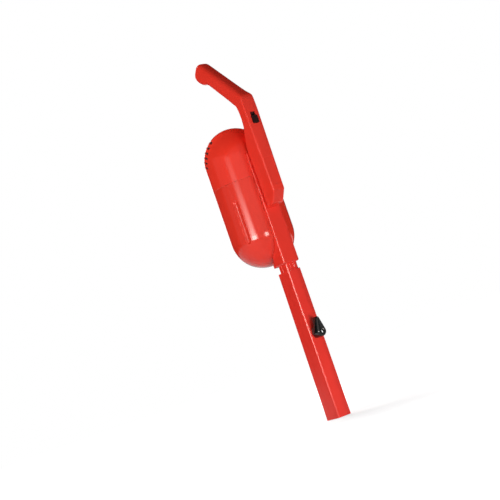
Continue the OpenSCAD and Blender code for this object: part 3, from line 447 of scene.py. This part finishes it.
def softbox(name, azimuth, distance, low, high, spread, radiance, colour=(1, 1, 1), lights=True):
    """Upright area lamp at a bearing, from a lowest to a highest level, spread degrees wide."""
    width = 2 * distance * math.tan(math.radians(spread / 2))
    tall = high - low
    target = Vector((0, SET_Y, (low + high) / 2))
    data = bpy.data.lights.new(name, "AREA")
    data.shape = "RECTANGLE"
    data.size, data.size_y = width, tall
    data.energy = math.pi * width * tall * radiance
    data.color = colour
    place = target + direction(azimuth, 0) * distance
    obj = lamp_object(name, data, place, place - target)
    obj.visible_diffuse = lights
    return obj


def wash(name, azimuth, elevation, distance, size, light):
    """Large soft lamp that only lights; light is the irradiance it gives over pi."""
    data = bpy.data.lights.new(name, "AREA")
    data.shape = "SQUARE"
    data.size = size
    data.energy = math.pi * math.pi * distance * distance * light
    way = direction(azimuth, elevation)
    obj = lamp_object(name, data, Vector((0, 0.03, 0.42)) + way * distance, way)
    obj.visible_glossy = False


def soften(lamp, sides, low, high):
    """Fade a softbox out towards its edges, by shares of its width and height."""
    lamp.data.use_nodes = True
    g = Nodes(lamp.data.node_tree)
    place = g.add("ShaderNodeSeparateXYZ")
    g.link(g.add("ShaderNodeNewGeometry").outputs["Parametric"], place.inputs[0])
    across, along = place.outputs["X"], place.outputs["Y"]
    level = g.spread(across, 0.0, 1.0, 0.0, sides, "SMOOTHSTEP")
    ramps = ((across, 1.0, 1.0 - sides), (along, 0.0, low), (along, 1.0, 1.0 - high))
    for value, start, end in ramps:
        level = g.maths("MULTIPLY", level, g.spread(value, 0.0, 1.0, start, end, "SMOOTHSTEP"))
    shine = g.add("ShaderNodeEmission")
    g.link(level, shine.inputs["Strength"])
    g.link(shine.outputs[0], g.add("ShaderNodeOutputLight").inputs["Surface"])


def only(lamp, *objects):
    """Let a lamp reach these objects alone, as a snoot or a barn door does."""
    group = bpy.data.collections.new("only_" + lamp.name)
    for obj in objects:
        group.objects.link(obj)
    lamp.light_linking.receiver_collection = group


# strips that the barrel, duct and wand show as reflections:
# name, bearing, distance, lowest and highest level, width in degrees, radiance, fades
STRIPS = (
    ("key_strip", -63.5, 1.6, 0.12, 1.12, 30, 3.8, (0.4, 0.05, 0.6)),
    ("key_low", -63.5, 1.58, 0.12, 0.76, 30, 6.0, (0.45, 0.05, 0.4)),
    ("broad_strip", -31, 1.6, 0.12, 1.3, 52, 0.6, (0.25, 0.05, 0.4)),
    ("spot_left", -64, 1.5, 0.05, 0.58, 32, 18.0, (0.45, 0.4, 0.3)),
    ("spot_right", -19, 1.5, 0.02, 0.52, 22, 20.0, (0.45, 0.4, 0.3)),
)
not_handle = [node for name, node in nodes.items() if not name.startswith("handle")]
for *place, fades in STRIPS:
    strip = softbox(*place, colour=WARM, lights=False)
    soften(strip, *fades)
    only(strip, hook, *not_handle)
soften(softbox("rear", 158, 1.9, 0.1, 1.6, 12, 2.6), 0.25, 0.3, 0.3)
only(softbox("glint", 44, 1.2, 0.66, 0.96, 15, 26.0, lights=False), hook)

# broad boxes that only the rounded upright edges show: name, radiance, highest level, nodes
EDGES = (
    ("edge_wand", 8.0, 1.0, ("extension_tube", "spigot")),
    ("edge_duct", 5.4, 1.0, ("duct_frame",)),
    ("edge_stem", 4.0, 0.88, ("handle_left", "handle_right")),
)
for name, radiance, top, shown in EDGES:
    edge = softbox(name, -45, 1.55, 0.0, top, 70, radiance, colour=WARM, lights=False)
    soften(edge, 0.02, 0.02, 0.5)
    only(edge, *(nodes[part] for part in shown))

# soft light on the object, the front one through the floor as on a light table:
# name, bearing, elevation, distance, size, light
WASHES = (
    ("left", -85, 15, 2.2, 1.2, 0.72),
    ("front", 2, -26, 2.0, 1.1, 0.86),
    ("back", 170, 48, 2.4, 1.2, 1.27),
    ("right", 105, 8, 2.4, 1.2, 0.35),
)
for values in WASHES:
    wash(*values)

# ---------------------------------------------------------------- world, cards and floor
# the world is dim as a light, and white to the camera and in reflections
WORLD_LIGHT, WORLD_SEEN = 0.12, 1.0

world = bpy.data.worlds.new("world")
scene.world = world
world.use_nodes = True
g = Nodes(world.node_tree)
path = g.add("ShaderNodeLightPath")
seen = g.maths("MAXIMUM", path.outputs["Is Camera Ray"], path.outputs["Is Transmission Ray"])
seen = g.maths("MAXIMUM", seen, path.outputs["Is Glossy Ray"])
mix = g.add("ShaderNodeMixShader")
g.link(seen, mix.inputs[0])
for socket, strength in ((mix.inputs[1], WORLD_LIGHT), (mix.inputs[2], WORLD_SEEN)):
    background = g.add("ShaderNodeBackground", Color=(1, 1, 1, 1), Strength=strength)
    g.link(background.outputs[0], socket)
g.link(mix.outputs[0], g.add("ShaderNodeOutputWorld").inputs["Surface"])


def card_piece(name, bm, level):
    """Card of the studio that only reflections see."""
    obj = mesh_object(name, bm)
    g = Graph(name)
    g.shader({"Base Color": (0, 0, 0, 1), "Emission Color": (1, 1, 1, 1),
              "Emission Strength": level, "Roughness": 1.0, "Specular IOR Level": 0.0})
    dress(obj, g.mat)
    obj.visible_camera = obj.visible_diffuse = False
    obj.visible_shadow = obj.visible_transmission = False


def arc_card(name, first, last, level):
    """Upright card round the object, from one bearing to another."""
    distance, count, levels = 2.6, 24, (-0.2, 3.0)
    bearings = [first + (last - first) * k / count for k in range(count + 1)]
    bm = bmesh.new()
    low, high = ([bm.verts.new(Vector((0, SET_Y, z)) + direction(bearing, 0) * distance)
                  for bearing in bearings] for z in levels)
    for k in range(count):
        bm.faces.new((low[k], low[k + 1], high[k + 1], high[k]))
    card_piece(name, bm, level)


arc_card("flag_rear", 60, 235, 0.02)
arc_card("card_front", -125, 60, 0.3)
LID_Z = 1.7
bm = bmesh.new()
bm.faces.new([bm.verts.new((x, y, LID_Z)) for x, y in ((-3, -1.2), (3, -1.2), (3, 3), (-3, 3))])
card_piece("flag_lid", bm, 0.0)

FLOOR_HALF, FLOOR_Z = 15.0, -0.0005
# how white the camera sees the floor under the object and far out, and where that changes
FLOOR_NEAR, FLOOR_FAR, NEAR, FAR = 0.62, 1.0, 0.15, 0.75
FLOOR_MIRRORED = 0.3

bm = bmesh.new()
bmesh.ops.create_grid(bm, x_segments=1, y_segments=1, size=FLOOR_HALF)
floor = mesh_object("floor", bm)
floor.location.z = FLOOR_Z
# it lets the lamp under it through
floor.visible_shadow = False
g = Graph("floor_white")
g.shader({"Base Color": (0.35, 0.35, 0.35, 1), "Roughness": 0.9, "Specular IOR Level": 0.0})
path = g.add("ShaderNodeLightPath")
mirrored = g.maths("MAXIMUM", path.outputs["Is Glossy Ray"], path.outputs["Is Transmission Ray"])
# pale under the object, where its shadow falls, and white towards the horizon
far = g.add("ShaderNodeVectorMath", operation="LENGTH")
g.link(g.coords(), far.inputs[0])
shown = g.spread(far.outputs["Value"], FLOOR_NEAR, FLOOR_FAR, NEAR, FAR)
mirrored = g.maths("MULTIPLY", mirrored, FLOOR_MIRRORED)
level = g.maths("MULTIPLY_ADD", path.outputs["Is Camera Ray"], shown, mirrored)
glow = g.add("ShaderNodeEmission")
g.link(level, glow.inputs["Strength"])
both = g.add("ShaderNodeAddShader")
g.link(g.bsdf.outputs[0], both.inputs[0])
g.link(glow.outputs[0], both.inputs[1])
g.link(both.outputs[0], g.out.inputs["Surface"])
dress(floor, g.mat)

scene.view_settings.view_transform = "Standard"
